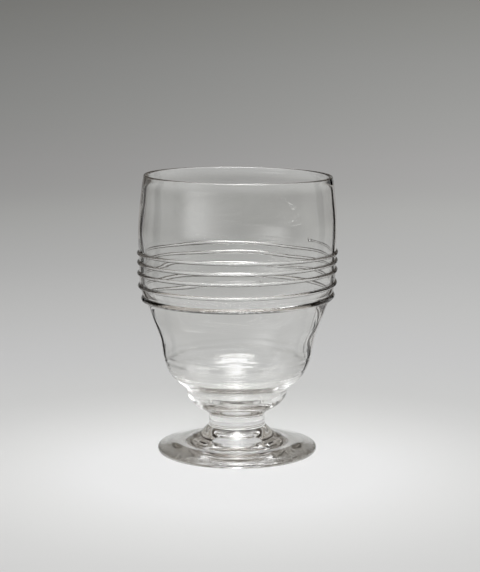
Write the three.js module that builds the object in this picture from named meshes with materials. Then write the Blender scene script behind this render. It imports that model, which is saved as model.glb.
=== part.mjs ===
// A short footed goblet of clear blown glass with one thread of glass trailed round its bowl.
// Millimetres, +Z up. The origin is the middle of the ring that the foot rests on.
//
// The glass has four gathers, made one after another and fused while hot: the bowl is blown and
// pinched into a small well at its bottom, the stem is a solid post dropped on the well, the foot
// is a disc spun out under the post, and the thread is trailed round the bowl in one long spiral.

import * as THREE from "three";
import { mergeVertices } from "three/addons/utils/BufferGeometryUtils.js";

// The whole goblet, from the rest ring to the top of the rim
const gobletHeight = 120;

// Foot, from the rest ring up
const footRadius = 34.4;
const footEdgeThickness = 2.6;
const footBrimRise = 1.9; // from the edge to the brim, over the thin outer part
const footBrimRadius = 25.0;
const footSwellRise = 2.0; // from the brim to the swell, where the post starts to spread
const footSwellRadius = 19.2;
const footShoulderRise = 2.5; // from the swell to the shoulder of the spread glass
const footShoulderRadius = 15.2;
const footSeatRise = 2.3; // from the shoulder to the flat seat of the stem
const restRingWidth = 3.6;
const kickHeight = 4.8; // how far the underside is hollowed at its middle
const scarRadius = 7.0; // middle of the ring that the pontil left
const scarWidth = 2.4;
const scarHeight = 0.7;

// Stem
const stemHeight = 5.0;
const stemFootRadius = 12.25;
const stemWaistRadius = 12.0;
const stemBowlRadius = 12.15;

// Bowl, each rise measured from the station below it, up to the band that carries the thread
const wellFlareRise = 1.3; // small fillet under the well
const wellFlareRadius = 13.4;
const wellSwellRise = 3.4;
const wellSwellRadius = 18.6;
const wellRise = 3.4;
const wellRadius = 21.3;
const pinchRise = 2.8; // the crease between the well and the bowl
const pinchRadius = 21.9;
const flareRise = 5.2;
const flareRadius = 27.3;
const cupRise = 5.6;
const cupRadius = 30.9;
const waistRise = 9.0;
const waistRadius = 32.8;
const slopeRise = 13.0;
const slopeRadius = 37.1;
const shoulderRise = 10.5;
const shoulderRadius = 41.2;
const bandRise = 11.0;
const bandRadius = 42.0;

// Barrel, from the band up to the rim: how far up its widest ring and its collar lie
const bellyShare = 0.343;
const bellyRadius = 42.45;
const collarShare = 0.713;
const collarRadius = 41.6;
const rimRadius = 40.2;

// Wall thickness of the bowl at its stations
const baseWall = 3.0;
const wellWall = 2.4;
const pinchWall = 2.1;
const flareWall = 1.5;
const waistWall = 2.2;
const shoulderWall = 2.5;
const bandWall = 2.0;
const bellyWall = 2.1;
const rimWall = 1.3;

// Trailed thread, one spiral from a fine tail at the back right down to a blob at the back
const tailAzimuth = 41; // degrees, counted from +X towards +Y
const tailDrop = 31.8; // from the rim's top down to the tail
const turnDrops = [3.2, 3.7, 4.7, 5.6, 5.0]; // how far each turn of the spiral comes down
const threadTurns = 4.9;
const threadLean = 0.6; // the turns lie this much higher on the left than a level spiral
const threadWidth = 1.45;
const threadProud = 0.9; // how far the thread stands out from the wall
const lastTurnWidth = 1.9;
const lastTurnProud = 1.35;
const tailWidth = 0.7;
const tailProud = 0.5;
const tailLength = 26;
const blobLength = 5;
const blobSwell = 1.35; // the blob's width, in widths of the last turn
const threadClearance = 0.15; // between the thread's flat side and the wall

// How finely the round forms are cut
const roundSegments = 48;
const stepsPerStation = 3;
const threadStepsPerTurn = 44;
const threadSides = 7;
const edgeSteps = 6;

// Heights that the pieces share
const seatHeight = footEdgeThickness + footBrimRise + footSwellRise + footShoulderRise + footSeatRise;
const bowlHeight = seatHeight + stemHeight;

// Materials, all the same clear colourless glass with a faint grey-green cast
const glassLook = { metalness: 0, roughness: 0.05, transparent: true, opacity: 0.35 };
const bowlGlass = new THREE.MeshStandardMaterial({ color: 0xdcdfda, ...glassLook });
const threadGlass = new THREE.MeshStandardMaterial({ color: 0xd3d6d1, ...glassLook });
const stemGlass = new THREE.MeshStandardMaterial({ color: 0xd8dbd5, ...glassLook });
const footGlass = new THREE.MeshStandardMaterial({ color: 0xcdcfc9, ...glassLook });

// A profile is a list of Vector2, where x is the distance from the axis and y is the height.
const at = (radius, height) => new THREE.Vector2(radius, height);

// Turns a profile that starts and ends on the axis into a solid that stands on +Z.
function turned(profile) {
  const geometry = new THREE.LatheGeometry(profile, roundSegments);
  geometry.rotateX(Math.PI / 2);
  return geometry;
}

// A smooth line through stations, each with a radius, a height and a wall thickness.
function smoothLine(stations) {
  const knots = stations.map((s) => new THREE.Vector3(s.radius, s.height, 0));
  const curve = new THREE.CatmullRomCurve3(knots, false, "centripetal");
  const spans = stations.length - 1;
  const line = [];
  for (let i = 0; i <= spans * stepsPerStation; i += 1) {
    const t = i / (spans * stepsPerStation);
    const span = Math.min(Math.floor(t * spans), spans - 1);
    const share = t * spans - span;
    const point = curve.getPoint(t);
    const tangent = curve.getTangent(t);
    line.push({
      point: at(point.x, point.y),
      inward: at(-tangent.y, tangent.x),
      wall: THREE.MathUtils.lerp(stations[span].wall, stations[span + 1].wall, share),
    });
  }
  return line;
}

// Points of an arc round a centre, from one angle to another in degrees.
function arc(centre, radius, fromDegrees, toDegrees, steps) {
  const points = [];
  for (let i = 0; i <= steps; i += 1) {
    const angle = THREE.MathUtils.degToRad(THREE.MathUtils.lerp(fromDegrees, toDegrees, i / steps));
    points.push(at(centre.x + radius * Math.cos(angle), centre.y + radius * Math.sin(angle)));
  }
  return points;
}

// Adds up the rises of the stations, from a starting height.
function stack(startHeight, steps) {
  let height = startHeight;
  return steps.map(([rise, radius, wall]) => {
    height += rise;
    return { radius, height, wall };
  });
}

// Outer line of the bowl: the well below the crease, and the bowl proper above it
const wellStations = stack(bowlHeight, [
  [0, stemBowlRadius, baseWall],
  [wellFlareRise, wellFlareRadius, baseWall],
  [wellSwellRise, wellSwellRadius, wellWall],
  [wellRise, wellRadius, wellWall],
  [pinchRise, pinchRadius, pinchWall],
]);
const crease = wellStations[wellStations.length - 1];
const belowBand = stack(crease.height, [
  [0, pinchRadius, pinchWall],
  [flareRise, flareRadius, flareWall],
  [cupRise, cupRadius, flareWall],
  [waistRise, waistRadius, waistWall],
  [slopeRise, slopeRadius, waistWall],
  [shoulderRise, shoulderRadius, shoulderWall],
  [bandRise, bandRadius, bandWall],
]);
const bandHeight = belowBand[belowBand.length - 1].height;
const barrelHeight = gobletHeight - rimWall / 2 - bandHeight;
const bowlStations = [
  ...belowBand,
  { radius: bellyRadius, height: bandHeight + bellyShare * barrelHeight, wall: bellyWall },
  { radius: collarRadius, height: bandHeight + collarShare * barrelHeight, wall: bellyWall },
  { radius: rimRadius, height: gobletHeight - rimWall / 2, wall: rimWall },
];
const outerWell = smoothLine(wellStations);
const outerBowl = smoothLine(bowlStations);
const outerLine = [...outerWell, ...outerBowl.slice(1)];

const inside = (sample) => sample.point.clone().addScaledVector(sample.inward, sample.wall);

// Radius and slope of the bowl's outside at a height above the crease.
function wallAt(height) {
  let k = 1;
  while (k < outerBowl.length - 1 && outerBowl[k].point.y < height) {
    k += 1;
  }
  const low = outerBowl[k - 1].point;
  const high = outerBowl[k].point;
  const slope = (high.x - low.x) / (high.y - low.y);
  return { radius: low.x + slope * (height - low.y), slope };
}

// The bowl: a shell with a flat seat below and a fire-rounded rim
function makeBowl() {
  const rimOut = outerLine[outerLine.length - 1].point;
  const lipCentre = at(rimOut.x - rimWall / 2, rimOut.y);
  const lip = arc(lipCentre, rimWall / 2, 0, 180, edgeSteps);
  const inner = outerLine.slice(1, -1).map(inside).reverse();
  const cavityBottom = bowlHeight + baseWall;
  const profile = [
    at(0, bowlHeight),
    ...outerLine.slice(0, -1).map((sample) => sample.point),
    ...lip,
    ...inner.filter((point) => point.y > cavityBottom),
    at(stemBowlRadius - baseWall, cavityBottom),
    at(0, cavityBottom),
  ];
  return turned(profile);
}

// The stem: a solid post with a slight waist, flat at both ends
function makeStem() {
  const side = smoothLine([
    { radius: stemFootRadius, height: seatHeight, wall: 0 },
    { radius: stemWaistRadius, height: seatHeight + stemHeight / 2, wall: 0 },
    { radius: stemBowlRadius, height: bowlHeight, wall: 0 },
  ]);
  return turned([at(0, seatHeight), ...side.map((sample) => sample.point), at(0, bowlHeight)]);
}

// The foot: a disc with a rounded edge, spread up to the stem, hollowed and scarred below
function makeFoot() {
  const edgeRound = footEdgeThickness / 2;
  const edge = arc(at(footRadius - edgeRound, edgeRound), edgeRound, -90, 75, edgeSteps);
  const top = smoothLine(
    stack(footEdgeThickness, [
      [footBrimRise, footBrimRadius, 0],
      [footSwellRise, footSwellRadius, 0],
      [footShoulderRise, footShoulderRadius, 0],
      [footSeatRise, stemFootRadius, 0],
    ]),
  );
  const ringInner = footRadius - edgeRound - restRingWidth;
  const hollowAt = (radius) => (kickHeight * (1 + Math.cos((Math.PI * radius) / ringInner))) / 2;
  const hollow = [];
  for (let i = 1; i <= edgeSteps; i += 1) {
    const radius = THREE.MathUtils.lerp(scarRadius + scarWidth, ringInner, i / edgeSteps);
    hollow.push(at(radius, hollowAt(radius)));
  }
  const scar = [-1, -0.5, 0.5, 1].map((side) => {
    const radius = scarRadius + side * scarWidth;
    const drop = Math.abs(side) < 1 ? scarHeight : 0;
    return at(radius, hollowAt(radius) - drop);
  });
  return turned([
    at(0, hollowAt(0)),
    ...scar,
    ...hollow,
    ...edge,
    ...top.map((sample) => sample.point),
    at(0, seatHeight),
  ]);
}

// Height of the trail's middle after some turns from its tail.
function trailHeight(turns) {
  let height = gobletHeight - tailDrop;
  for (let k = 0; k < turnDrops.length; k += 1) {
    const part = THREE.MathUtils.clamp(turns - k, 0, 1);
    height -= turnDrops[k] * part;
  }
  const azimuth = THREE.MathUtils.degToRad(tailAzimuth) - turns * 2 * Math.PI;
  const lean = -threadLean * Math.cos(azimuth);
  return height + lean + threadLean * Math.cos(THREE.MathUtils.degToRad(tailAzimuth));
}

// Width of the trail and how far it stands proud, at a distance along it.
function trailSize(turns) {
  const along = turns * 2 * Math.PI * bandRadius;
  const whole = threadTurns * 2 * Math.PI * bandRadius;
  const fattening = THREE.MathUtils.smoothstep(turns, threadTurns - 2, threadTurns - 1);
  let width = THREE.MathUtils.lerp(threadWidth, lastTurnWidth, fattening);
  let proud = THREE.MathUtils.lerp(threadProud, lastTurnProud, fattening);
  const tail = THREE.MathUtils.smoothstep(along, 0, tailLength);
  width = THREE.MathUtils.lerp(tailWidth, width, tail);
  proud = THREE.MathUtils.lerp(tailProud, proud, tail);
  const intoBlob = THREE.MathUtils.clamp((along - whole + blobLength) / blobLength, 0, 1);
  const swell = 1 + (blobSwell - 1) * Math.sin(Math.PI * intoBlob);
  const close = Math.sqrt(1 - 0.85 * intoBlob ** 4);
  return { width: width * swell * close, proud: threadClearance + (proud - threadClearance) * close };
}

// One ring of the trail: a D with its flat side along the wall, at a number of turns.
function trailRing(turns) {
  const azimuth = THREE.MathUtils.degToRad(tailAzimuth) - turns * 2 * Math.PI;
  const height = trailHeight(turns);
  const wall = wallAt(height);
  const { width, proud } = trailSize(turns);
  const length = Math.hypot(1, wall.slope);
  const along = at(wall.slope / length, 1 / length);
  const outward = at(1 / length, -wall.slope / length);
  const chordLift = wall.radius * (1 / Math.cos(Math.PI / threadStepsPerTurn) - 1);
  const ring = [];
  for (let k = 0; k < threadSides; k += 1) {
    const angle = -Math.PI / 2 + (Math.PI * k) / (threadSides - 1);
    const out = threadClearance + chordLift + (proud - threadClearance) * Math.cos(angle);
    const up = (width / 2) * Math.sin(angle);
    const spot = at(wall.radius, height).addScaledVector(outward, out).addScaledVector(along, up);
    ring.push(new THREE.Vector3(spot.x * Math.cos(azimuth), spot.x * Math.sin(azimuth), spot.y));
  }
  return ring;
}

// Least gap of the trail to itself, between points at least half a turn apart.
function leastGap(rings) {
  let least = Infinity;
  const apart = threadStepsPerTurn / 2;
  for (let i = 0; i < rings.length; i += 1) {
    for (let j = i + apart; j < rings.length; j += 1) {
      if (rings[i][0].distanceTo(rings[j][0]) < 4 * lastTurnWidth) {
        for (const a of rings[i]) {
          for (const b of rings[j]) {
            least = Math.min(least, a.distanceTo(b));
          }
        }
      }
    }
  }
  return least;
}

// The trailed thread: rings along the spiral, joined in one closed tube
function makeThread() {
  const wholeSteps = Math.round(threadTurns * threadStepsPerTurn);
  const blobTurns = blobLength / (2 * Math.PI * bandRadius);
  const stops = [];
  for (let i = 0; i < wholeSteps; i += 1) {
    const turns = i / threadStepsPerTurn;
    if (turns < threadTurns - blobTurns) {
      stops.push(turns);
    }
  }
  for (let i = 0; i <= edgeSteps; i += 1) {
    stops.push(threadTurns - blobTurns * (1 - i / edgeSteps));
  }
  const rings = stops.map(trailRing);
  console.log(`least gap of the thread to itself: ${leastGap(rings).toFixed(2)} mm`);

  const positions = rings.flat().flatMap((p) => [p.x, p.y, p.z]);
  const faces = [];
  const last = (rings.length - 1) * threadSides;
  for (let i = 0; i < rings.length - 1; i += 1) {
    for (let k = 0; k < threadSides; k += 1) {
      const a = i * threadSides + k;
      const b = i * threadSides + ((k + 1) % threadSides);
      faces.push(a, b, a + threadSides, b, b + threadSides, a + threadSides);
    }
  }
  for (let k = 1; k < threadSides - 1; k += 1) {
    faces.push(0, k + 1, k);
    faces.push(last, last + k, last + k + 1);
  }
  const geometry = new THREE.BufferGeometry();
  geometry.setAttribute("position", new THREE.Float32BufferAttribute(positions, 3));
  geometry.setIndex(faces);
  const joined = mergeVertices(geometry);
  joined.computeVertexNormals();
  return joined;
}

// The whole goblet
const group = new THREE.Group();

function add(name, geometry, material) {
  const mesh = new THREE.Mesh(geometry, material);
  mesh.name = name;
  group.add(mesh);
}

add("foot", makeFoot(), footGlass);
add("stem", makeStem(), stemGlass);
add("bowl", makeBowl(), bowlGlass);
add("trailed_thread", makeThread(), threadGlass);

export default group;
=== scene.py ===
# %% [markdown]
# # A blown-glass goblet with a trailed thread
#
# This notebook dresses the measured model of a short footed goblet in real glass. The goblet was
# made from four gathers of hot glass: a blown bowl, a solid stem, a spun foot, and one long thread
# that was trailed round the bowl in a spiral. Clear glass has almost no colour of its own. What the
# eye sees is the room, bent by every curve, so most of the work lies in the curves, in the walls'
# real thickness, and in a room worth bending.
#
# The measured model is loaded first and never moved. Every piece below is built in its frame.

# %% Load the fixed frame
import math
import bpy
import numpy as np
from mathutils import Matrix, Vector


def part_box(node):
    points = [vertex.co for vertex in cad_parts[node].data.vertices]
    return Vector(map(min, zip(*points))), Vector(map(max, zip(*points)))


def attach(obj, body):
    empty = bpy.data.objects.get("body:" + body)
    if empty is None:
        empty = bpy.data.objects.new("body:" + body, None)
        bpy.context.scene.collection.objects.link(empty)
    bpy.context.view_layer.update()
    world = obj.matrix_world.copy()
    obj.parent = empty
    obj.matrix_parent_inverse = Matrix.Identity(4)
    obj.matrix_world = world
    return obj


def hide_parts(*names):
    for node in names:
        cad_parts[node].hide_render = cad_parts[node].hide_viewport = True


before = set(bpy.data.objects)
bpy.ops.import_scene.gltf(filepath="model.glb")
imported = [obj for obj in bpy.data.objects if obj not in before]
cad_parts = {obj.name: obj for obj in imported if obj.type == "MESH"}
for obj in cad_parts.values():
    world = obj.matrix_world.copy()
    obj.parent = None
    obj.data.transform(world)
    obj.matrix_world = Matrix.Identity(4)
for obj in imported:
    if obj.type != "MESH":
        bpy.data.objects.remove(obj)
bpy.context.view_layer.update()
MM = 0.001
print("nodes:", sorted(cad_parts))

# %% [markdown]
# ## Sizes that come from the frame
#
# The measured model says where each gather ends. The stem's two flat faces are where it is fused to
# the bowl and to the foot, and everything else is placed from those heights, in millimetres.

# %% Read the heights and radii of the pieces
def span(node):
    low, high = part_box(node)
    return low / MM, high / MM


seat_height = span("stem")[0].z
stem_top = span("stem")[1].z
rim_height = span("bowl")[1].z
foot_radius = 34.4
stem_foot_radius = 12.25
stem_waist_radius = 12.0
stem_bowl_radius = 12.15
print(f"stem from {seat_height:.2f} to {stem_top:.2f} mm, rim at {rim_height:.2f} mm")

# %% [markdown]
# ## The camera
#
# A long lens stands well back and looks down a little, as a studio camera does for glass. Its height
# and tilt were worked out from how round the rim and the foot look. A short lens close by would make
# the rim too round and the foot too flat.

# %% Place the camera
camera_distance = 0.7196
camera_height = 0.186
camera_aside = 0.00106
camera_tilt = 9.02
lens_length = 107.0

camera_data = bpy.data.cameras.new("studio_camera")
camera_data.lens = lens_length
camera = bpy.data.objects.new("studio_camera", camera_data)
camera.location = (camera_aside, -camera_distance, camera_height)
camera.rotation_euler = (math.radians(90 - camera_tilt), 0, 0)
bpy.context.scene.collection.objects.link(camera)
bpy.context.scene.camera = camera
print(f"camera {camera_distance} m in front, {camera_height} m up")


# %% [markdown]
# ## Helpers for materials
#
# Colours are written as sRGB hex, as a picker shows them, and Blender wants linear light, so one
# function turns one into the other. The next adds a node with its settings and what goes into its
# sockets, which is a link or a plain value. The last starts an empty material.

# %% Colour, node and material helpers
def linear(hex_colour):
    channels = [int(hex_colour[i : i + 2], 16) / 255 for i in (1, 3, 5)]
    bent = [c / 12.92 if c <= 0.04045 else ((c + 0.055) / 1.055) ** 2.4 for c in channels]
    return (*bent, 1.0)


def node(tree, kind, settings=None, **sockets):
    """A new node. A socket is named in words, or by i and its number."""
    made = tree.nodes.new(kind)
    for name, value in (settings or {}).items():
        setattr(made, name, value)
    for name, value in sockets.items():
        numbered = name[0] == "i" and name[1:].isdigit()
        socket = made.inputs[int(name[1:]) if numbered else name.replace("_", " ")]
        if isinstance(value, bpy.types.NodeSocket):
            tree.links.new(value, socket)
        else:
            socket.default_value = value
    return made


def new_material(name):
    material = bpy.data.materials.new(name)
    material.use_nodes = True
    material.node_tree.nodes.clear()
    return material, material.node_tree


print("middle grey in linear light:", round(linear("#808080")[0], 3))

# %% [markdown]
# ## The stage
#
# The goblet stands in a round white room that curves up from the floor with no corner. A bent sheet
# of paper would do for one view, but a round room gives every view the same background.

# %% Model the round stage
floor_radius = 1.1
sweep_radius = 0.7
wall_height = 3.2
middle_radius = 0.02
floor_steps, sweep_steps, wall_steps = 24, 17, 9
stage_segments = 96
floor_gap = 0.0001


def lathe(rings, segments):
    """Vertices and quads of rings (radius, height) turned round the axis, in their own units."""
    turn = np.arange(segments) * 2 * math.pi / segments
    verts = [(r * math.cos(a), r * math.sin(a), z) for r, z in rings for a in turn]
    faces = []
    for i in range(len(rings) - 1):
        for j in range(segments):
            k = (j + 1) % segments
            low, high = i * segments, (i + 1) * segments
            faces.append((low + j, low + k, high + k, high + j))
    return verts, faces


floor_rings = [(r, 0.0) for r in np.linspace(middle_radius, floor_radius, floor_steps)]
sweep_rings = [
    (floor_radius + sweep_radius * math.sin(a), sweep_radius * (1 - math.cos(a)))
    for a in np.linspace(0, math.pi / 2, sweep_steps)[1:]
]
wall_heights = np.linspace(sweep_radius, wall_height, wall_steps)[1:]
wall_rings = [(floor_radius + sweep_radius, z) for z in wall_heights]
stage_verts, stage_faces = lathe(floor_rings + sweep_rings + wall_rings, stage_segments)
stage_faces.append(tuple(range(stage_segments)))
stage_mesh = bpy.data.meshes.new("round_stage")
stage_mesh.from_pydata(stage_verts, [], stage_faces)
stage_mesh.polygons.foreach_set("use_smooth", [True] * len(stage_mesh.polygons))
stage = bpy.data.objects.new("round_stage", stage_mesh)
bpy.context.scene.collection.objects.link(stage)
stage.location = (0, 0, -floor_gap)
print(f"stage {2 * (floor_radius + sweep_radius):.1f} m across")

# %% [markdown]
# ## The stage's falloff
#
# Matt studio paint scatters light evenly, so it has no shine, only shade. The room is brightest in a
# pool round the foot and falls off to grey behind and above. The eye reads that falloff twice, in
# the background and again, bent, in the glass. It could be left to the lamps, but then each lamp
# would change it, so it is painted as shades of white by the distance from the pool in metres.
# Height counts too, a little less than distance along the floor.

# %% Paint the falloff
pool_middle = (0.0, -0.030, 0.0)
rise_share = 0.8
falloff = [
    (0.00, "#f4f4f4"),
    (0.06, "#f2f2f2"),
    (0.09, "#e9e9e8"),
    (0.13, "#dddddc"),
    (0.16, "#d7d7d6"),
    (0.25, "#d3d3d3"),
    (0.40, "#cececd"),
    (0.60, "#c6c6c5"),
    (0.95, "#bebebc"),
    (1.30, "#b2b1b0"),
    (1.48, "#a8a8a6"),
    (1.63, "#9f9f9d"),
    (1.75, "#959592"),
    (1.90, "#868481"),
    (2.10, "#665e56"),
    (2.30, "#4a423b"),
    (2.50, "#3a332d"),
]
falloff_reach = falloff[-1][0]

paint, tree = new_material("matt_white_studio_paint")
where = node(tree, "ShaderNodeNewGeometry")
place = node(tree, "ShaderNodeSeparateXYZ", Vector=where.outputs["Position"])
from_pool = node(
    tree, "ShaderNodeVectorMath", {"operation": "SUBTRACT"},
    i0=where.outputs["Position"], i1=pool_middle,
)
level = node(
    tree, "ShaderNodeVectorMath", {"operation": "MULTIPLY"}, i0=from_pool.outputs[0], i1=(1, 1, 0)
)
reach = node(tree, "ShaderNodeVectorMath", {"operation": "LENGTH"}, i0=level.outputs[0])
along = node(
    tree, "ShaderNodeMath", {"operation": "MULTIPLY_ADD"},
    i0=place.outputs["Z"], i1=rise_share, i2=reach.outputs["Value"],
)
share = node(tree, "ShaderNodeMath", {"operation": "DIVIDE"}, i0=along.outputs[0], i1=falloff_reach)
ramp = node(tree, "ShaderNodeValToRGB", Fac=share.outputs[0])
while len(ramp.color_ramp.elements) < len(falloff):
    ramp.color_ramp.elements.new(1.0)
for element, (distance, shade) in zip(ramp.color_ramp.elements, falloff):
    element.position = distance / falloff_reach
    element.color = linear(shade)
print(f"{len(falloff)} shades over {falloff_reach} m")

# %% [markdown]
# ## A brighter right side
#
# Far from the goblet the right of the room is brighter than the left, and near it both are alike. A
# lamp at the side would also light the glass, so the shade is worked out: a smooth step across the
# room, as seen from a point in front, times how far away the place is.

# %% Brighten the far right
side_share = 0.54
side_reach = 0.3
side_distance = 0.7

away = node(tree, "ShaderNodeMath", {"operation": "ADD"}, i0=along.outputs[0], i1=side_distance)
aside = node(tree, "ShaderNodeMath", {"operation": "DIVIDE"}, i0=place.outputs["X"], i1=away.outputs[0])
sideways = node(
    tree, "ShaderNodeMapRange", {"interpolation_type": "SMOOTHSTEP"}, Value=aside.outputs[0],
    From_Min=-side_reach, From_Max=side_reach, To_Min=-side_share, To_Max=side_share,
)
farness = node(tree, "ShaderNodeMath", {"operation": "DIVIDE"}, i0=along.outputs[0], i1=away.outputs[0])
far_only = node(tree, "ShaderNodeMath", {"operation": "POWER"}, i0=farness.outputs[0], i1=2)
brighter = node(
    tree, "ShaderNodeMath", {"operation": "MULTIPLY_ADD"},
    i0=far_only.outputs[0], i1=sideways.outputs[0], i2=1,
)
print(f"up to {side_share:.0%} brighter at the right")

# %% [markdown]
# ## What the glass sees of the room
#
# Light that turns back inside thick glass ends up in parts of the room that the picture never shows.
# A real studio is dim and warm there, so rays mirrored twice or more see the room in a painted warm
# shade, which is what gives the foot its brownish greys. The floor in front, where the table ends and
# the camera stands, loses its painted light for mirrored rays too, which is painted shade as well.

# %% Dim the room for mirrored rays
# Painted shade: the warm dimming seen by rays mirrored twice or more.
mirrored_room_shade = "#bbb2a9"
table_end, table_lost = -0.10, -0.45

path = node(tree, "ShaderNodeLightPath")
turned_back = node(
    tree, "ShaderNodeMapRange", Value=path.outputs["Glossy Depth"], From_Min=1, From_Max=2
)
room = node(
    tree, "ShaderNodeMix", {"data_type": "RGBA", "blend_type": "MULTIPLY"},
    i0=turned_back.outputs[0], i6=ramp.outputs["Color"], i7=linear(mirrored_room_shade),
)
# Painted shade: the floor in front goes dim for rays mirrored once or more.
in_front = node(
    tree, "ShaderNodeMapRange", Value=place.outputs["Y"], From_Min=table_end, From_Max=table_lost
)
mirrored = node(tree, "ShaderNodeMath", {"operation": "MINIMUM"}, i0=path.outputs["Glossy Depth"], i1=1)
lost = node(
    tree, "ShaderNodeMath", {"operation": "MULTIPLY"}, i0=mirrored.outputs[0], i1=in_front.outputs[0]
)
kept = node(tree, "ShaderNodeMath", {"operation": "SUBTRACT"}, i0=1, i1=lost.outputs[0])
strength = node(
    tree, "ShaderNodeMath", {"operation": "MULTIPLY"}, i0=kept.outputs[0], i1=brighter.outputs[0]
)
print(f"the floor fades from {-table_end} to {-table_lost} m in front")

# %% [markdown]
# ## Painted light and real paint
#
# Camera, glossy and transmitted rays see the falloff as painted light, so the background shows as it
# is written. A share of real white paint stays in the mix, which keeps the goblet's shadow.

# %% Mix painted light with real paint
paint_share = 0.3

looked_at = node(
    tree, "ShaderNodeMath", {"operation": "MAXIMUM"},
    i0=path.outputs["Is Camera Ray"], i1=path.outputs["Is Glossy Ray"],
)
seen = node(
    tree, "ShaderNodeMath", {"operation": "MAXIMUM"},
    i0=looked_at.outputs[0], i1=path.outputs["Is Transmission Ray"],
)
glow_share = node(
    tree, "ShaderNodeMath", {"operation": "MULTIPLY"}, i0=seen.outputs[0], i1=1 - paint_share
)
painted = node(tree, "ShaderNodeBsdfDiffuse", Color=ramp.outputs["Color"])
glow = node(tree, "ShaderNodeEmission", Color=room.outputs[2], Strength=strength.outputs[0])
mixed = node(
    tree, "ShaderNodeMixShader", Fac=glow_share.outputs[0], i1=painted.outputs[0], i2=glow.outputs[0]
)
node(tree, "ShaderNodeOutputMaterial", Surface=mixed.outputs[0])
stage_mesh.materials.append(paint)
print(f"{paint.name}, {paint_share:.0%} real paint")

# %% [markdown]
# ## The lamp
#
# One wide softbox hangs overhead, a little to the front. It lights the floor and casts the goblet's
# soft shadow. Glass would mirror it as a hard-edged window, so mirrored and transmitted rays don't
# see it, and silks with soft edges stand in for it below.

# %% Hang the softbox
goblet_middle = (0.0, 0.0, 0.06)
softbox_place = (-0.02, -0.60, 0.90)
softbox_size = (1.00, 0.60)
softbox_radiance = 5.5

softbox_data = bpy.data.lights.new("overhead_softbox", "AREA")
softbox_data.shape = "RECTANGLE"
softbox_data.size, softbox_data.size_y = softbox_size
softbox_data.energy = math.pi * softbox_radiance * softbox_size[0] * softbox_size[1]
softbox = bpy.data.objects.new("overhead_softbox", softbox_data)
softbox.location = softbox_place
aim = np.array(goblet_middle) - np.array(softbox_place)
softbox.rotation_euler = Vector(aim).to_track_quat("-Z", "Y").to_euler()
softbox.visible_glossy = softbox.visible_transmission = False
bpy.context.scene.collection.objects.link(softbox)
print(f"softbox of {softbox_data.energy:.1f} W, {softbox_place[2]} m up")


# %% [markdown]
# ## Black cards
#
# Clear glass on a pale ground vanishes at its edges unless something dark stands where the edges
# bend the view to. Photographers stand black cards beside the glass for that. A tall pair behind, at
# the picture's sides, draws the dark lines up the whole goblet, and a low pair near the foot draws
# those of the well and the foot. The low pair would stand in the picture, so the camera doesn't see
# the cards. Black felt throws almost no light back.

# %% Stand the black cards
def card(name, grid, material, strengths=None):
    """A card through a grid of points in metres, rows by columns, hidden from the camera."""
    rows, wide = len(grid), len(grid[0])
    faces = [
        (r * wide + i, r * wide + i + 1, (r + 1) * wide + i + 1, (r + 1) * wide + i)
        for r in range(rows - 1)
        for i in range(wide - 1)
    ]
    mesh = bpy.data.meshes.new(name)
    mesh.from_pydata([tuple(point) for row in grid for point in row], [], faces)
    mesh.materials.append(material)
    if strengths is not None:
        glow = mesh.attributes.new("glow", "FLOAT", "POINT")
        glow.data.foreach_set("value", np.asarray(strengths, float).ravel())
    standing = bpy.data.objects.new(name, mesh)
    standing.visible_camera = standing.visible_diffuse = standing.visible_shadow = False
    bpy.context.scene.collection.objects.link(standing)


felt, tree = new_material("black_felt_card")
nap = node(tree, "ShaderNodeBsdfDiffuse", Color=linear("#0c0c0c"))
node(tree, "ShaderNodeOutputMaterial", Surface=nap.outputs[0])
tall_card = ((0.119, 0.110), (0.138, 0.21), 0.14)
low_card = ((0.072, 0.055), (0.092, 0.135), 0.03)
for name, (near_end, far_end, card_height) in (("tall", tall_card), ("low", low_card)):
    for hand, side in (("left", -1), ("right", 1)):
        grid = [[(side * x, y, z) for x, y in (near_end, far_end)] for z in (0.0, card_height)]
        card(f"{hand}_{name}_card", grid, felt)

# %% [markdown]
# ## Lit silks
#
# What glass mirrors of a lamp is its shape and how its edges fade. A lit silk fades out at its
# edges, as a lamp behind cloth does. The overhead silk draws the white lines along the rim and the
# thread and the soft patches in the bottom of the bowl. The left silk lays the pale upright band on
# the barrel. Each is a patch of a sphere round the goblet, given by angles and by how bright it is
# at each.

# %% Hang the silks
silk_distance = 1.2
lit_silk, tree = new_material("lit_silk_card")
soft = node(tree, "ShaderNodeAttribute", {"attribute_name": "glow"})
shine = node(tree, "ShaderNodeEmission", Color=linear("#ffffff"), Strength=soft.outputs["Fac"])
node(tree, "ShaderNodeOutputMaterial", Surface=shine.outputs[0])


def silk_card(name, radiance, across, upward):
    """A lit silk by pairs of degrees and share of the radiance.

    Degrees across count from the camera's side (-Y) towards the left (-X), the others from level up.
    """
    azimuths = np.radians([degrees for degrees, _ in across])
    rises = np.radians([degrees for degrees, _ in upward])
    grid = [
        [
            (
                goblet_middle[0] - silk_distance * math.cos(e) * math.sin(a),
                goblet_middle[1] - silk_distance * math.cos(e) * math.cos(a),
                goblet_middle[2] + silk_distance * math.sin(e),
            )
            for a in azimuths
        ]
        for e in rises
    ]
    shares = np.outer([s for _, s in upward], [s for _, s in across])
    card(name, grid, lit_silk, radiance * shares)


silk_card(
    "overhead_silk", 12.0,
    [(-75, 0), (-55, 0.25), (-35, 0.8), (-22, 1), (0, 1), (22, 1), (35, 0.8), (55, 0.25), (75, 0)],
    [(45, 0), (48, 0.3), (51, 0.9), (54, 1), (58, 1), (62, 0.5), (66, 0.15), (70, 0.2), (75, 0.6),
     (84, 0.6), (100, 0.5), (112, 0)],
)
silk_card(
    "left_silk", 1.75,
    [(-4, 0), (4, 0.04), (14, 0.15), (24, 0.35), (32, 0.6), (40, 0.9), (48, 1), (56, 0.95),
     (62, 0.6), (68, 0.2), (74, 0)],
    [(-10, 0), (-5, 0.4), (0, 1), (6, 1), (10, 0.7), (15, 0.25), (20, 0)],
)

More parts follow.
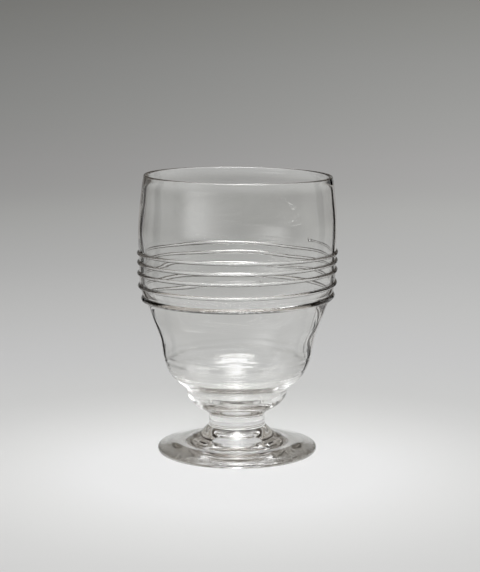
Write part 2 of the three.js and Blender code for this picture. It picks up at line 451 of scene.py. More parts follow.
# %% [markdown]
# ## The air of the studio
#
# A plain low fill from all round stands for the light that a real room scatters back. Standard
# colour shows a shade as it is written. A path through a goblet crosses a dozen surfaces, so Cycles
# gets bounces enough that none goes black inside the glass.

# %% Fill the air and set the colour
fill_strength = 0.15
glass_bounces = 32

world = bpy.data.worlds.new("studio_air")
world.use_nodes = True
fill = world.node_tree.nodes["Background"]
fill.inputs["Color"].default_value = linear("#ffffff")
fill.inputs["Strength"].default_value = fill_strength
scene = bpy.context.scene
scene.world = world
scene.view_settings.view_transform = "Standard"
scene.cycles.max_bounces = glass_bounces
scene.cycles.transmission_bounces = glass_bounces
scene.cycles.glossy_bounces = glass_bounces
scene.cycles.transparent_max_bounces = glass_bounces
print(f"fill of {fill_strength}, {glass_bounces} bounces")

# %% [markdown]
# ## Blown soda-lime glass
#
# Old table glass is soda-lime glass, blown and reheated. Fire leaves its skin as smooth as liquid,
# so to the eye it has only sharp mirror images and no haze. It bends light by 1.52 and is almost
# clear, with a breath of grey-green from the iron in its sand. Lamps shine through it, so shadow
# rays pass it as a tinted clear film. Its skin still waves a little, as cooled liquid does, over
# 3 to 4 mm and by a few thousandths of a millimetre.

# %% Mix the bowl's and the stem's glass
glass_tint = "#fdfdfc"
shadow_tint = "#f0f2ef"
soda_lime_ior = 1.52


def blown_glass(name):
    """Clear glass that casts a pale shadow, its nodes and its shader."""
    material, tree = new_material(name)
    shine = node(
        tree, "ShaderNodeBsdfPrincipled",
        Base_Color=linear(glass_tint), Transmission_Weight=1.0, IOR=soda_lime_ior, Roughness=0.0,
    )
    film = node(tree, "ShaderNodeBsdfTransparent", Color=linear(shadow_tint))
    path = node(tree, "ShaderNodeLightPath")
    mixed = node(
        tree, "ShaderNodeMixShader",
        Fac=path.outputs["Is Shadow Ray"], i1=shine.outputs[0], i2=film.outputs[0],
    )
    node(tree, "ShaderNodeOutputMaterial", Surface=mixed.outputs[0])
    return material, tree, shine


def skin(tree, shine, wave_mm, depth_mm, share=1.0):
    """Fine waves in the skin, as wide and as deep as given, everywhere or by a share."""
    place = node(tree, "ShaderNodeTexCoord")
    waves = node(
        tree, "ShaderNodeTexNoise", Vector=place.outputs["Object"], Scale=1 / (wave_mm * MM), Detail=2.0
    )
    height = node(tree, "ShaderNodeMath", {"operation": "MULTIPLY"}, i0=waves.outputs["Fac"], i1=share)
    bump = node(tree, "ShaderNodeBump", Height=height.outputs[0], Distance=depth_mm * MM)
    tree.links.new(bump.outputs[0], shine.inputs["Normal"])


bowl_glass, tree, shine = blown_glass("blown_soda_lime_glass")
skin(tree, shine, wave_mm=4.0, depth_mm=0.006)
stem_glass, tree, shine = blown_glass("solid_soda_lime_glass")
skin(tree, shine, wave_mm=3.0, depth_mm=0.004)
print(bowl_glass.name, stem_glass.name)

# %% [markdown]
# ## The foot's worn glass
#
# Two places of the foot are not smooth. The ring that it stands on is dulled by use, and the glass
# where the iron rod broke off is rough. Dull glass spreads what it lets through, so the eye sees a
# soft grey there. The dullness is patchy: real scratches are far too fine to show, so they are drawn
# as grain of 1.2 mm.

# %% Mix the foot's glass
scar_radius = 6.6
scar_fade = 1.0
scar_roughness = 0.22
rest_height, rest_full_height = 0.2, 0.02
rest_roughness = 0.28
scratch_mm = 1.2

foot_glass, tree, shine = blown_glass("spun_soda_lime_glass")
place = node(tree, "ShaderNodeTexCoord")
parts = node(tree, "ShaderNodeSeparateXYZ", Vector=place.outputs["Object"])
level = node(
    tree, "ShaderNodeVectorMath", {"operation": "MULTIPLY"}, i0=place.outputs["Object"], i1=(1, 1, 0)
)
from_axis = node(tree, "ShaderNodeVectorMath", {"operation": "LENGTH"}, i0=level.outputs[0])
scarred = node(
    tree, "ShaderNodeMapRange", Value=from_axis.outputs["Value"],
    From_Min=scar_radius * MM, From_Max=(scar_radius - scar_fade) * MM, To_Max=scar_roughness,
)
worn = node(
    tree, "ShaderNodeMapRange", Value=parts.outputs["Z"],
    From_Min=rest_height * MM, From_Max=rest_full_height * MM, To_Max=rest_roughness,
)
dulled = node(
    tree, "ShaderNodeMath", {"operation": "MAXIMUM"}, i0=scarred.outputs[0], i1=worn.outputs[0]
)
scratches = node(
    tree, "ShaderNodeTexNoise", Vector=place.outputs["Object"], Scale=1 / (scratch_mm * MM), Detail=3.0
)
patchy = node(
    tree, "ShaderNodeMapRange", Value=scratches.outputs["Fac"], From_Min=0.35, From_Max=0.6, To_Min=0.3
)
rough = node(
    tree, "ShaderNodeMath", {"operation": "MULTIPLY"}, i0=dulled.outputs[0], i1=patchy.outputs[0]
)
tree.links.new(rough.outputs[0], shine.inputs["Roughness"])
skin(tree, shine, wave_mm=3.0, depth_mm=0.004)
print(foot_glass.name)

# %% [markdown]
# ## The thread's nicked glass and its painted shade
#
# The lowest turn stands out furthest, so its edge is nicked by years of knocks. The nicks are bumps,
# and painted shade darkens some of them, so they look like a line of dark and bright grains. The
# ends of the thread, where the glass was pinched off, are bumped and get painted shade too. The
# nicks and the shade are a share kept on the mesh's points, which the material turns into grains of
# about a millimetre.

# %% Mix the thread's glass
# Painted shade: a near-black colour mixed into the nicks' grains and the thread's ends.
painted_shade_tint = "#0a0908"
grain_mm = 1.1
nick_mm, nick_bump_mm = 0.9, 0.5

thread_glass, tree, shine = blown_glass("trailed_soda_lime_glass")
nicked = node(tree, "ShaderNodeAttribute", {"attribute_name": "nicks_and_shade"})
skin(tree, shine, nick_mm, nick_bump_mm, nicked.outputs["Fac"])
place = node(tree, "ShaderNodeTexCoord")
grains = node(
    tree, "ShaderNodeTexNoise", Vector=place.outputs["Object"], Scale=1 / (grain_mm * MM), Detail=2.0
)
patches = node(tree, "ShaderNodeMapRange", Value=grains.outputs["Fac"], From_Min=0.40, From_Max=0.50)
# The share of painted shade, in the grains of the nicks and at the ends.
painted_shade_share = node(
    tree, "ShaderNodeMath", {"operation": "MULTIPLY"}, i0=patches.outputs[0], i1=nicked.outputs["Fac"]
)
painted_shade_colour = node(
    tree, "ShaderNodeMix", {"data_type": "RGBA"},
    i0=painted_shade_share.outputs[0], i6=linear(glass_tint), i7=linear(painted_shade_tint),
)
tree.links.new(painted_shade_colour.outputs[2], shine.inputs["Base Color"])
print(thread_glass.name)

# %% [markdown]
# ## Where two gathers are fused
#
# Two gathers that were fused hot have no surface left between them, so light passes there without a
# trace. Both pieces get perfectly clear faces at the joint. Leaving the faces out would look the
# same but open the meshes.

# %% Make the fused joint clear
joint, tree = new_material("fused_glass_joint")
clear = node(tree, "ShaderNodeBsdfTransparent", Color=linear("#ffffff"))
node(tree, "ShaderNodeOutputMaterial", Surface=clear.outputs[0])
GLASS, JOINT = 0, 1
print(joint.name)


# %% [markdown]
# ## Curves for a profile
#
# Hot glass has no corners, so each outline is a smooth curve through a few stations. A natural cubic
# spline keeps its bend continuous, which matters here: a jump in the bend of a glass wall shows as a
# line in what is seen through it. The curve is made dense first, and then thinned where it is nearly
# straight.

# %% Smooth curve through stations
def smooth_curve(stations, fineness=0.05):
    """Dense points of a natural cubic spline through the stations, a column for each value."""
    knots = np.array(stations, float)
    gaps = np.linalg.norm(np.diff(knots[:, :2], axis=0), axis=1)
    place = np.concatenate([[0], np.cumsum(gaps)])
    count = len(knots)
    left = np.eye(count)
    right = np.zeros(knots.shape)
    for i in range(1, count - 1):
        left[i, i - 1 : i + 2] = gaps[i - 1], 2 * (gaps[i - 1] + gaps[i]), gaps[i]
        right[i] = 6 * (
            (knots[i + 1] - knots[i]) / gaps[i] - (knots[i] - knots[i - 1]) / gaps[i - 1]
        )
    bend = np.linalg.solve(left, right)
    query = np.linspace(0, place[-1], int(place[-1] / fineness) + 2)
    k = np.clip(np.searchsorted(place, query) - 1, 0, count - 2)
    a, b, h = (query - place[k])[:, None], (place[k + 1] - query)[:, None], gaps[k][:, None]
    return (
        bend[k] * b**3 / (6 * h)
        + bend[k + 1] * a**3 / (6 * h)
        + (knots[k] / h - bend[k] * h / 6) * b
        + (knots[k + 1] / h - bend[k + 1] * h / 6) * a
    )


def thin_out(curve, widest, finest=0.12, per_radius=0.12):
    """Fewer points of a dense curve: close where it bends, at most widest apart elsewhere."""
    step = np.gradient(curve[:, :2], axis=0)
    length = np.linalg.norm(step, axis=1)
    turn = np.gradient(np.unwrap(np.arctan2(step[:, 1], step[:, 0])))
    bend_radius = length / np.maximum(np.abs(turn), 1e-6)
    room = np.clip(per_radius * bend_radius, finest, widest)
    ticks = np.concatenate([[0], np.cumsum(length[1:] / room[1:])])
    wanted = np.linspace(0, ticks[-1], int(math.ceil(ticks[-1])) + 1)
    return np.stack([np.interp(wanted, ticks, column) for column in curve.T], axis=1)


bow = smooth_curve([(0, 0), (5, 1), (10, 0)])
print(f"a bow of {len(bow)} points thins out to {len(thin_out(bow, 0.8))}")

# %% [markdown]
# ## The bowl's wall
#
# Each station gives a radius, a height and the wall's thickness there. The wall follows what the
# photograph shows of its inner edge: thin at the lip, 2 mm round the barrel, thicker at the
# shoulder under the thread, thin again where the bubble swells out above the pinch, and thick
# round the well, where the glass was stretched least.

# %% Stations of the bowl
bowl_stations = [
    (12.15, 16.30, 3.2), (12.75, 17.00, 3.2), (14.80, 18.45, 3.1), (17.30, 20.05, 2.8),
    (19.60, 22.00, 2.5), (20.95, 24.00, 2.4), (21.60, 25.90, 2.4), (21.85, 27.05, 2.3),
    (22.40, 28.05, 2.2), (24.70, 30.10, 1.7), (27.00, 32.10, 1.5), (28.85, 34.20, 1.5),
    (30.20, 36.60, 1.6), (31.20, 39.20, 1.8), (32.00, 42.50, 2.1), (32.70, 46.50, 2.3),
    (33.65, 50.50, 2.3), (35.40, 55.40, 2.4), (37.05, 60.00, 2.6), (38.50, 64.00, 2.6),
    (40.25, 68.00, 2.4), (41.45, 72.00, 2.1), (41.90, 77.00, 2.0), (41.98, 82.00, 2.0),
    (42.12, 87.00, 2.0), (42.43, 93.00, 2.0), (42.30, 99.50, 2.0), (41.70, 107.00, 1.97),
    (40.98, 114.00, 1.92), (40.50, 117.80, 1.72), (40.25, 119.29, 1.38),
]
pinch_height = 28.0
lip_radius = bowl_stations[-1][2] / 2
outer = smooth_curve(bowl_stations)
above_pinch = outer[outer[:, 1] > pinch_height]


def wall_radius(height):
    return np.interp(height, above_pinch[:, 1], above_pinch[:, 0])


print(f"outside line {len(outer)} points, widest {outer[:, 0].max():.2f} mm")

# %% [markdown]
# ## Signs of the hand
#
# Nothing blown is quite true. The axis leans a hair, the lip dips to the right, and the hollow inside
# sits off centre. Each piece is made straight first, and then all its points lean and dip in one go,
# so that pieces that touch still touch.

# %% Lean and dip
lean_heights = [0, 14, 45, 80, 120]
lean_right = [-0.2, -0.35, -0.1, -0.1, 0.3]
lip_dip = 0.9
lip_dip_from = 96.0
hollow_heights = [19, 30, 45, 58, 70, 85, 100, 120]
hollow_right = [-0.2, -0.4, -0.5, -0.4, 0.0, 0.4, 0.35, 0.0]


def ease(x, low, high):
    t = np.clip((x - low) / (high - low), 0, 1)
    return t * t * (3 - 2 * t)


def by_hand(points):
    """Moves points (x, y, z) in mm as the finished goblet leans and dips."""
    x, y, z = points[..., 0], points[..., 1], points[..., 2]
    to_the_right = x / np.maximum(np.hypot(x, y), 1)
    dip = lip_dip * ease(z, lip_dip_from, rim_height) * (1 + to_the_right) / 2
    return np.stack([x + np.interp(z, lean_heights, lean_right), y, z - dip], axis=-1)


print(f"the lip dips {lip_dip} mm, the hollow sits up to {max(map(abs, hollow_right))} mm off")

# %% [markdown]
# The jacks that pinched the bubble left fine rings, and both skins ripple by a few hundredths of a
# millimetre. That is enough to make the far side of the thread look wavy through the near wall.
# Noise could do it too, but sums of waves close up round the axis, and a fixed seed keeps each run
# the same.

# %% Rings and ripples
mark_slope = 0.05
mark_lengths = (5.6, 3.5, 2.3, 1.5)
marks_from = (20, 27)
marks_to = (38, 50)
ripple_waves = 14


def tool_marks(azimuth, height, seed):
    """Fine rings left by the jacks where the bubble was drawn in."""
    random = np.random.default_rng(seed)
    total = np.zeros(np.broadcast(azimuth, height).shape)
    for length in mark_lengths:
        phase = random.uniform(0, 2 * math.pi, 3)
        sway = 0.6 * np.cos(azimuth + phase[0]) + 0.4 * np.cos(2 * azimuth + phase[1])
        ring = np.cos(2 * math.pi * height / length + sway + phase[2])
        total += mark_slope * length / (2 * math.pi) * ring
    return total * ease(height, *marks_from) * (1 - ease(height, *marks_to))


def ripple(azimuth, height, amount, seed):
    """A smooth handmade unevenness in mm, the same for the same seed."""
    random = np.random.default_rng(seed)
    total = np.zeros(np.broadcast(azimuth, height).shape)
    for _ in range(ripple_waves):
        waves = random.integers(1, 9)
        length = random.uniform(14, 60)
        phase = random.uniform(0, 2 * math.pi, 2)
        total += np.cos(waves * azimuth + phase[0]) * np.cos(2 * math.pi * height / length + phase[1])
    return amount * total / math.sqrt(ripple_waves)


print(f"rings {mark_lengths} mm apart, {ripple_waves} waves in a ripple")

# %% [markdown]
# ## The trail's course
#
# The thread starts as a fine tail at the back right and comes down clockwise, close-set at first and
# wider lower down, and ends in a blob at the back. A plain helix would look machine made, so each
# quarter turn has its own height, and a smooth curve runs through them. For that curve a turn counts
# as 100 mm along.

# %% Course of the trail
trail_start = math.radians(41)
trail_turns = 4.915
tail_height = 88.4
quarter_heights = [
    87.2, 87.3, 86.7, 84.8, 83.7, 82.9, 82.7, 80.7, 79.7, 78.8,
    78.1, 76.0, 74.2, 73.0, 72.8, 70.6, 68.7, 67.7, 67.4, 66.4, 65.6,
]
columns = 224
turn_run = 100


def trail_height(turns):
    """Height of the trail's middle after some turns from its tail."""
    start = -trail_start / (2 * math.pi)
    knots = np.concatenate([[start], np.arange(len(quarter_heights)) / 4])
    heights = np.concatenate([[tail_height], quarter_heights])
    course = smooth_curve(np.stack([knots * turn_run, heights], axis=1))
    return np.interp((turns + start) * turn_run, course[:, 0], course[:, 1])


stops = np.arange(int(trail_turns * columns) + 1) / columns
trail_columns = (round(trail_start / (2 * math.pi) * columns) - np.arange(len(stops))) % columns
trail_z = trail_height(stops)
print(f"trail {trail_turns} turns, {trail_z[0]:.1f} to {trail_z[-1]:.1f} mm high")

# %% [markdown]
# ## The trail's size
#
# A trail is fine where it touches down and thickens as the gather above it warms and sags, so the
# last turn is the heaviest. It starts in a dot, thins out again behind the last turn, and ends in
# the blob where it was cut off.

# %% Size of the trail
start_half, start_proud = 0.66, 0.88
growth_half, growth_proud = 0.08, 0.06
last_turn_half, last_turn_proud = 0.2, 0.42
widens, rises = (3.3, 4.1), (3.4, 4.1)
tail_half, tail_proud = 0.5, 0.6
tail_length, tail_dot = 30, 1.1
dot_half, dot_proud = 0.3, 0.4
thin_end_share = 0.65
thin_end_turns = (4.75, 4.82)
blob_place, blob_length = 1.8, 1.4
blob_half, blob_proud = 0.7, 1.1
close_length, close_least = 1.2, 0.04
trail_radius = 42
trail_round = 2 * math.pi * trail_radius


def trail_size(turns):
    """Half width and how far the trail stands proud, in mm."""
    run = turns * trail_round
    left = (trail_turns - turns) * trail_round
    tail = ease(run, 0, tail_length)
    half = start_half + growth_half * turns / trail_turns + last_turn_half * ease(turns, *widens)
    proud = start_proud + growth_proud * turns / trail_turns + last_turn_proud * ease(turns, *rises)
    half = tail_half + (half - tail_half) * tail
    proud = tail_proud + (proud - tail_proud) * tail
    proud *= 1 - thin_end_share * ease(turns, *thin_end_turns)
    dot = np.exp(-((run / tail_dot) ** 2))
    blob = np.exp(-(((left - blob_place) / blob_length) ** 2))
    half = half + dot_half * dot + blob_half * blob
    proud = proud + dot_proud * dot + blob_proud * blob
    close = np.sqrt(np.clip(left / close_length, close_least, 1))
    return half * close, proud * close


trail_half, trail_proud = trail_size(stops)
print(f"trail {2 * trail_half.min():.2f} to {2 * trail_half.max():.2f} mm wide")

# %% [markdown]
# ## Where the trail is fused to the wall
#
# So that the trail and the wall can stay separate pieces and still look like one, the wall's rows of
# points are pulled on to the two edges of the trail, and the faces under it become the clear joint.
# The trail's own flat side gets the same clear joint. Here the two edges are worked out.

# %% Edges of the trail on the wall
sink_share = 0.24


def trail_edges(height, half):
    """Lower and upper height where the trail meets the wall."""
    width = half * math.sqrt(1 - sink_share**2)
    slope = wall_radius(height + 0.5) - wall_radius(height - 0.5)
    rise = width / np.sqrt(1 + slope**2)
    return height - rise, height + rise


edge_low, edge_high = trail_edges(trail_z, trail_half)
print(f"joint {np.mean(edge_high - edge_low):.2f} mm wide on average")


# %% [markdown]
# ## Building turned pieces
#
# A turned piece is a grid of points: rows along the outline and columns round the axis, closed by a
# point on the axis at each end. Blender's screw modifier could turn an outline too, but it gives no
# hold on single cells, and the bowl needs that under the trail.

# %% Points and faces of a grid
turn = np.arange(columns) * 2 * math.pi / columns


def turned_points(radius, height):
    """Rows by columns of points (x, y, z), from radii and heights by row or by row and column."""
    return np.stack([radius * np.cos(turn), radius * np.sin(turn), height + 0 * turn], axis=-1)


def turned_faces(rows, columns, slot_of_row, special=None):
    """Faces of a grid with a pole below and above; special replaces the quads of some cells."""
    faces, slots = [], []
    top = rows * columns
    for j in range(columns):
        k = (j + 1) % columns
        faces.append((top, k, j))
        slots.append(slot_of_row(-1))
        faces.append((top + 1, (rows - 1) * columns + j, (rows - 1) * columns + k))
        slots.append(slot_of_row(rows - 1))
    for i in range(rows - 1):
        for j in range(columns):
            k = (j + 1) % columns
            a, b, c, d = i * columns + j, i * columns + k, (i + 1) * columns + k, (i + 1) * columns + j
            cell = (special or {}).get((i, j))
            if cell is None:
                faces.append((a, b, c, d))
                slots.append(slot_of_row(i))
            elif cell[0] == "whole":
                faces.append((a, b, c, d))
                slots.append(cell[1])
            elif cell[0] == "rising":
                faces += [(a, b, c), (a, c, d)]
                slots += [cell[1], cell[2]]
            else:
                faces += [(a, b, d), (b, c, d)]
                slots += [cell[1], cell[2]]
    return faces, slots


print(f"{columns} columns, {2 * math.pi * outer[:, 0].max() / columns:.2f} mm apart at the widest")

# %% [markdown]
# The next helper puts a piece in the scene. Its faces are shaded smooth, as fire leaves them, apart
# from edges over 35 degrees, as where a flat seat meets the wall.

# %% Put a piece in the scene
crease_angle = 35


def put_in(name, verts, faces, slots, materials):
    """A smooth-shaded object from points in mm, with a material slot for each face."""
    mesh = bpy.data.meshes.new(name)
    mesh.from_pydata((np.asarray(verts) * MM).tolist(), [], faces)
    mesh.polygons.foreach_set("material_index", slots)
    mesh.polygons.foreach_set("use_smooth", [True] * len(mesh.polygons))
    mesh.set_sharp_from_angle(angle=math.radians(crease_angle))
    for material in materials:
        mesh.materials.append(material)
    mesh.validate()
    piece = bpy.data.objects.new(name, mesh)
    bpy.context.scene.collection.objects.link(piece)
    return piece


print(f"edges over {crease_angle} degrees stay sharp")


# %% [markdown]
# ## The bowl
#
# The outline runs from the seat up the outside, over the fire-rounded lip and down the inside. The
# inside is the outside moved in by the wall, then smoothed again, as the hot bubble smooths itself.
# Rows lie closest where the trail and the jacks' rings need them.

# %% Inside of the bowl
def inner_line(stations):
    curve = smooth_curve(stations)
    points = []
    for radius, height, wall in stations[::-1]:
        i = np.argmin((curve[:, 0] - radius) ** 2 + (curve[:, 1] - height) ** 2)
        i = min(max(i, 1), len(curve) - 2)
        along = curve[i + 1, :2] - curve[i - 1, :2]
        along /= np.linalg.norm(along)
        points.append((radius - along[1] * wall, height + along[0] * wall))
    return points


cavity_floor = stem_top + 3.0
cavity_side = 9
inside = [p for p in inner_line(bowl_stations) if p[0] > cavity_side and p[1] > cavity_floor + 0.5]
inner = smooth_curve(inside + [(6.0, cavity_floor + 0.15), (0.6, cavity_floor)])
print(f"hollow {rim_height - cavity_floor:.1f} mm deep")

# %% [markdown]
# The whole outline is put together from its parts, each thinned out to its own spacing in
# millimetres.

# %% Outline of the bowl
band = (64.0, 90.5)
marks = (22.0, 47.0)
plain_rows, mark_rows, band_rows, floor_rows = 0.8, 0.42, 0.32, 0.6


def between(curve, low, high):
    return curve[(curve[:, 1] >= low) & (curve[:, 1] < high)]


low_part = np.concatenate(
    [
        thin_out(between(outer, 0, marks[0]), plain_rows),
        thin_out(between(outer, *marks), mark_rows, mark_rows),
        thin_out(between(outer, marks[1], band[0]), plain_rows),
    ]
)
band_part = thin_out(between(outer, *band), band_rows, band_rows)
high_part = thin_out(between(outer, band[1], rim_height), plain_rows)
lip_centre = np.array([outer[-1, 0] - lip_radius, outer[-1, 1]])
lip_angles = np.linspace(0, math.pi, 15)[1:-1]
lip = lip_centre + lip_radius * np.stack([np.cos(lip_angles), np.sin(lip_angles)], axis=1)
inner_part = np.concatenate(
    [
        thin_out(between(inner, marks[1], rim_height), plain_rows),
        thin_out(between(inner, *marks), mark_rows, mark_rows),
        thin_out(between(inner, 0, marks[0]), floor_rows),
    ]
)
seat_rows = [(4.0, stem_top), (8.0, stem_top)]
outline = np.concatenate(
    [seat_rows, low_part[:, :2], band_part[:, :2], high_part[:, :2], lip, inner_part]
)
first_band_row = len(seat_rows) + len(low_part)
last_band_row = first_band_row + len(band_part) - 1
first_inner_row = len(outline) - len(inner_part)
print(f"bowl outline of {len(outline)} rows, band rows {first_band_row} to {last_band_row}")

# %% [markdown]
# Now the outline is turned into points, and the rows nearest to the trail's two edges are pulled on
# to them, column by column. The ripples and the jacks' rings come last. The trail gets the outside's
# ripple too, so that the two pieces still meet.

# %% Points of the bowl
height = np.repeat(outline[:, 1][:, None], columns, axis=1)
radius = np.repeat(outline[:, 0][:, None], columns, axis=1)
band_heights = outline[first_band_row : last_band_row + 1, 1]


def nearest_row(z):
    return first_band_row + int(np.argmin(np.abs(band_heights - z)))


rows_low, rows_high = [], []
for stop, column in enumerate(trail_columns):
    low_row, high_row = nearest_row(edge_low[stop]), nearest_row(edge_high[stop])
    if high_row == low_row:
        high_row += 1
    height[low_row, column], height[high_row, column] = edge_low[stop], edge_high[stop]
    rows_low.append(low_row)
    rows_high.append(high_row)
on_band = slice(first_band_row, last_band_row + 1)
radius[on_band] = wall_radius(height[on_band])

skin_ripple, hollow_ripple = 0.02, 0.05
skin_seed, hollow_seed, skin_marks_seed, hollow_marks_seed = 3, 8, 5, 6
fade_in, fade_out = (stem_top + 4, 32), (112, 119)
fade = ease(outline[:, 1], *fade_in)[:, None] * (1 - ease(outline[:, 1], *fade_out))[:, None]
outside_row = (np.arange(len(outline)) < first_inner_row)[:, None]
radius += np.where(outside_row, ripple(turn, height, skin_ripple, skin_seed), 0) * fade
radius += np.where(outside_row, 0, ripple(turn, height, hollow_ripple, hollow_seed)) * fade
radius += np.where(outside_row, tool_marks(turn, height, skin_marks_seed), 0)
radius += np.where(outside_row, 0, tool_marks(turn, height, hollow_marks_seed))
points = turned_points(radius, height)
points[first_inner_row:, :, 0] += np.interp(height[first_inner_row:], hollow_heights, hollow_right)
print("bowl grid", points.shape)

# %% [markdown]
# The cells under the trail become the clear joint. Where an edge of the trail steps from one row to
# the next, the cell is cut along its diagonal, half glass and half joint.

# %% Faces of the bowl
cells = {}
for stop in range(len(stops) - 1):
    column = trail_columns[stop + 1]
    low_a, low_b = rows_low[stop + 1], rows_low[stop]
    high_a, high_b = rows_high[stop + 1], rows_high[stop]
    for row in range(max(low_a, low_b), min(high_a, high_b)):
        cells[row, column] = ("whole", JOINT)
    if low_a != low_b:
        row = min(low_a, low_b)
        cells[row, column] = ("rising" if low_b > low_a else "falling", GLASS, JOINT)
    if high_a != high_b:
        row = min(high_a, high_b)
        cells[row, column] = ("rising" if high_b > high_a else "falling", JOINT, GLASS)


def bowl_slot(row):
    return JOINT if row < len(seat_rows) else GLASS


faces, slots = turned_faces(len(outline), columns, bowl_slot, cells)
poles = [[0, 0, stem_top], [0, 0, cavity_floor]]
verts = np.concatenate([points.reshape(-1, 3), poles])
bowl = put_in("blown_bowl", by_hand(verts), faces, slots, [bowl_glass, joint])
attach(bowl, "root")
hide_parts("bowl")
print(f"bowl {len(bowl.data.polygons)} faces")

# %% [markdown]
# ## The trailed thread
#
# Its section is an ellipse sunk a little into the wall, so its flat side is the joint, and it droops
# a little, because it cooled hanging. Rings of points stand at the same columns as the bowl's, and
# their two corners are the very points that the wall's rows were pulled to. A bevelled curve would
# be quicker, but its section could not meet the wall point by point. The lowest turn is bitten at
# its front, unevenly, which the nicks in the material follow.

# %% Rings of the trail
section_points = 23
droop = 0.35
nick_turns = (4.27, 4.56)
nick_fade = (0.04, 0.05)
nick_angle = 0.05
nick_spread = 0.55
nick_depth = 0.3
nick_random = np.random.default_rng(4)

section_reach = math.acos(-sink_share)
section_angles = np.linspace(-section_reach, section_reach, section_points)
nick_line = np.exp(-(((section_angles - nick_angle) / nick_spread) ** 2))
nick_in = ease(stops, nick_turns[0], nick_turns[0] + nick_fade[0])
nick_out = ease(stops, nick_turns[1] - nick_fade[1], nick_turns[1])
nick_share = nick_in * (1 - nick_out)


def trail_ring(stop):
    azimuth = turn[trail_columns[stop]]
    low, high = edge_low[stop], edge_high[stop]
    middle = (low + high) / 2
    slope = wall_radius(middle + 0.5) - wall_radius(middle - 0.5)
    tilt = 1 / math.sqrt(1 + slope**2)
    proud, half = trail_proud[stop], trail_half[stop]
    swell = (sink_share + np.cos(section_angles)) / (1 + sink_share)
    bite = nick_share[stop] * nick_depth * nick_random.uniform(0.3, 1)
    out = proud * swell - bite * nick_line
    up = half * (np.sin(section_angles) - droop * swell)
    ring_r = wall_radius(middle) + out * tilt + up * slope * tilt
    ring_z = middle - out * slope * tilt + up * tilt
    ring_z[0], ring_z[-1] = low, high
    ring_r[0], ring_r[-1] = wall_radius(low), wall_radius(high)
    ring_r += ripple(azimuth, ring_z, skin_ripple, skin_seed)
    return np.stack([ring_r * math.cos(azimuth), ring_r * math.sin(azimuth), ring_z], axis=-1)


rings = np.array([trail_ring(stop) for stop in range(len(stops))])
print(f"{len(rings)} rings, {nick_share.astype(bool).sum()} of them nicked")

# %% [markdown]
# The rings are joined by quads and closed by a face at each end. The nicks go with the points as a
# share from 0 to 1, which the thread's glass reads. The tail and the blob get a share too, which
# bumps them and paints shade on them.

# %% Faces of the trail
tail_bump_and_shade = 1.3
blob_bump_and_shade_place, blob_bump_and_shade = 2.0, 1.6

faces, slots = [], []
for i in range(len(rings) - 1):
    for k in range(section_points):
        m = (k + 1) % section_points
        a, b = i * section_points + k, i * section_points + m
        faces.append((a, b, b + section_points, a + section_points))
        slots.append(JOINT if m == 0 else GLASS)
faces.append(tuple(range(section_points))[::-1])
faces.append(tuple((len(rings) - 1) * section_points + k for k in range(section_points)))
slots += [GLASS, GLASS]
thread_verts = by_hand(rings.reshape(-1, 3))
thread = put_in("trailed_glass_thread", thread_verts, faces, slots, [thread_glass, joint])

run = stops * trail_round
left = (trail_turns - stops) * trail_round
# At the tail and the blob the share bumps the glass and paints shade on it.
at_tail = np.exp(-((run / tail_bump_and_shade) ** 2))
at_blob = np.exp(-(((left - blob_bump_and_shade_place) / blob_bump_and_shade) ** 2))
nicks_and_shade = np.clip(nick_share[:, None] * nick_line + (at_tail + at_blob)[:, None], 0, 1)
mark = thread.data.attributes.new("nicks_and_shade", "FLOAT", "POINT")
mark.data.foreach_set("value", nicks_and_shade.ravel())
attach(thread, "root")
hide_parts("trailed_thread")
print(f"thread {len(thread.data.polygons)} faces")

# %% [markdown]
# ## The stem
#
# A solid post acts as a strong lens: it turns the room upside down inside itself. It is a hair
# thinner at its waist, as a drop of glass pulled between two others is. Both its flat ends are fused.

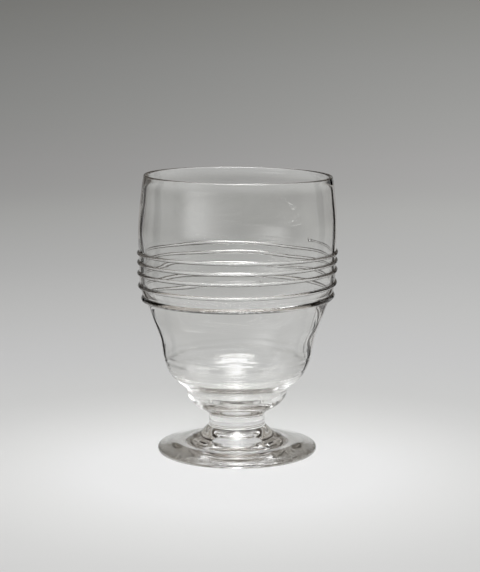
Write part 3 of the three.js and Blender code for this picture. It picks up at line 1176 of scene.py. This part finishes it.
# %% Turn the stem
post_line = smooth_curve(
    [
        (stem_foot_radius, seat_height),
        (stem_waist_radius, (seat_height + stem_top) / 2),
        (stem_bowl_radius, stem_top),
    ]
)
stem_outline = np.concatenate(
    [
        [(4.0, seat_height), (8.0, seat_height)],
        thin_out(post_line, 0.5),
        [(8.0, stem_top), (4.0, stem_top)],
    ]
)
side_rows = range(2, len(stem_outline) - 3)
stem_grid = turned_points(stem_outline[:, :1], stem_outline[:, 1:])
faces, slots = turned_faces(
    len(stem_outline), columns, lambda row: GLASS if row in side_rows else JOINT
)
verts = np.concatenate([stem_grid.reshape(-1, 3), [[0, 0, seat_height], [0, 0, stem_top]]])
stem = put_in("solid_stem", by_hand(verts), faces, slots, [stem_glass, joint])
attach(stem, "root")
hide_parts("stem")
print(f"stem {len(stem.data.polygons)} faces")

# %% [markdown]
# ## The foot
#
# The foot was spun out flat, drawn up under the stem and hollowed below, so that it stands on a ring.
# Its edge is fire-rounded. On top, a low step runs round where the spreading glass met the post's.
# The iron rod that held it left its scar in the flat middle of the hollow. The steep step beside the
# scar bends the room into rings, which are seen in the foot from above.

# %% Turn the foot
edge_thickness = 2.6
edge_round = edge_thickness / 2
ring_width = 3.6
kick_height = 5.4
foot_rows = 0.6
edge_centre = np.array([foot_radius - edge_round, edge_round])
edge_angles = np.radians(np.linspace(-90, 72, 16))
edge = edge_centre + edge_round * np.stack([np.cos(edge_angles), np.sin(edge_angles)], axis=1)
top_line = smooth_curve(
    [tuple(edge[-1]), (30.0, 3.3), (25.0, 4.3), (20.5, 5.2), (19.6, 5.85), (18.8, 6.47), (17.8, 6.7),
     (16.4, 7.4), (14.5, 9.15), (13.1, 10.5), (stem_foot_radius, seat_height)]
)
ring_inner = foot_radius - edge_round - ring_width
under_line = smooth_curve(
    [(0.6, kick_height), (5.5, kick_height - 0.15), (8.4, kick_height - 0.85), (10.0, 2.6), (11.5, 1.45),
     (14.0, 1.0), (20.0, 0.6), (ring_inner, 0.0)]
)
foot_outline = np.concatenate(
    [
        thin_out(under_line, foot_rows),
        [(ring_inner + ring_width / 2, 0.0)],
        edge,
        thin_out(top_line, foot_rows)[1:],
        [(8.0, seat_height), (4.0, seat_height)],
    ]
)
seat_start = len(foot_outline) - 3
foot_grid = turned_points(foot_outline[:, :1], foot_outline[:, 1:])
faces, slots = turned_faces(
    len(foot_outline), columns, lambda row: JOINT if row >= seat_start else GLASS
)
verts = np.concatenate([foot_grid.reshape(-1, 3), [[0, 0, kick_height], [0, 0, seat_height]]])
foot = put_in("spun_foot", by_hand(verts), faces, slots, [foot_glass, joint])
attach(foot, "root")
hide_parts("foot")
print(f"foot {len(foot.data.polygons)} faces")
